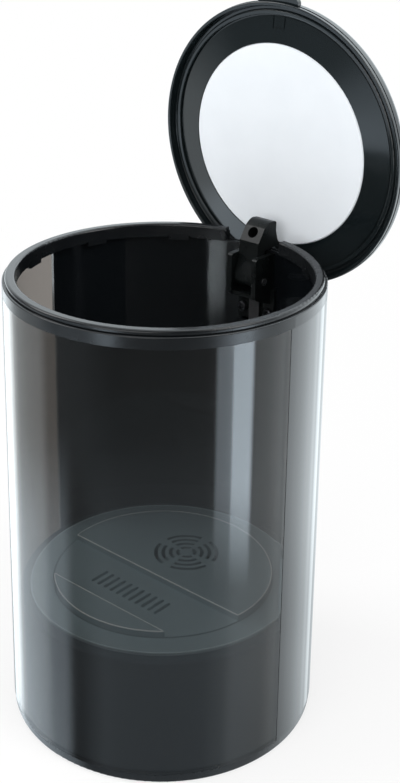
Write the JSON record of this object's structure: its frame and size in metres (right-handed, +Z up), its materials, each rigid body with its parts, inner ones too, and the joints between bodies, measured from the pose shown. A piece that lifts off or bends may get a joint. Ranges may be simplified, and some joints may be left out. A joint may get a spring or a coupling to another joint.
{
  "type": "ozone sterilizer",
  "caption": "Upright cylindrical ozone sterilizer with a smoked front window, a black back shell, a rimmed mouth and a round hinged lid with a white light panel, standing open.",
  "frame": {"origin": "centre of the face that the case stands on, on the case's own axis", "axes": "+Z up along the case, hinge of the lid towards +Y, front of the window towards -Y"},
  "size_m": [0.12, 0.1384, 0.2739],
  "materials": {
    "black_moulding": "satin",
    "black_gloss": "gloss",
    "smoked_window": "gloss",
    "white_diffuser": "satin",
    "rubber_pad": "matte",
    "steel": "satin",
    "circuit_board": "satin",
    "white_board": "satin",
    "dark_part": "satin",
    "ceramic": "matte",
    "light_chip": "gloss",
    "cell_sleeve": "gloss",
    "cable_black": "satin",
    "lead_red": "satin",
    "light_pipe": "gloss"
  },
  "bodies": {
    "case": {"bottom_cover": "black_moulding", "base_pad": "rubber_pad", "base_drum": "black_gloss", "chamber_deck": "black_gloss", "item_tray": "black_gloss", "front_window": "smoked_window", "rear_shell": "black_gloss", "top_ring": "black_moulding", "ring_keeper": "steel", "hinge_bracket": "black_moulding", "hinge_pin": "steel", "bracket_screws": "steel", "cable_cover": "black_moulding", "riser_cable": "cable_black", "main_board": "circuit_board", "board_parts": "dark_part", "transformer": "dark_part", "high_voltage_leads": "lead_red", "ozone_holder": "dark_part", "ozone_plate": "ceramic", "fan_frame": "dark_part", "fan_screws": "steel", "battery_cell": "cell_sleeve", "battery_cradle": "dark_part", "usb_socket": "steel", "button_board": "circuit_board", "button_switch": "dark_part", "status_light": "light_pipe", "cover_screws": "steel", "board_screws": "steel"},
    "lid": {"lid_frame": "black_moulding", "lid_cover": "black_gloss", "light_panel": "white_diffuser", "light_board": "white_board", "light_chips": "light_chip", "lid_arm": "black_moulding", "arm_lead": "cable_black", "lid_magnet": "steel", "arm_screws": "steel", "light_screws": "steel"},
    "button": {"power_button": "black_gloss"},
    "fan": {"fan_impeller": "dark_part"}
  },
  "joints": [
    {"name": "lid_hinge", "type": "hinge", "parent": "case", "child": "lid", "pos_m": [0, 0.05086, 0.16247], "axis": [1, 0, 0], "range_deg": [0, 86.8]},
    {"name": "button_press", "type": "slide", "parent": "case", "child": "button", "axis": [0, -1, 0], "range_m": [0, 0.0007], "stiffness_N_per_m": 500, "springref_m": -0.002},
    {"name": "fan_spin", "type": "hinge", "parent": "case", "child": "fan", "pos_m": [0, 0.014, 0.044], "axis": [0, 0, 1], "continuous": true}
  ]
}
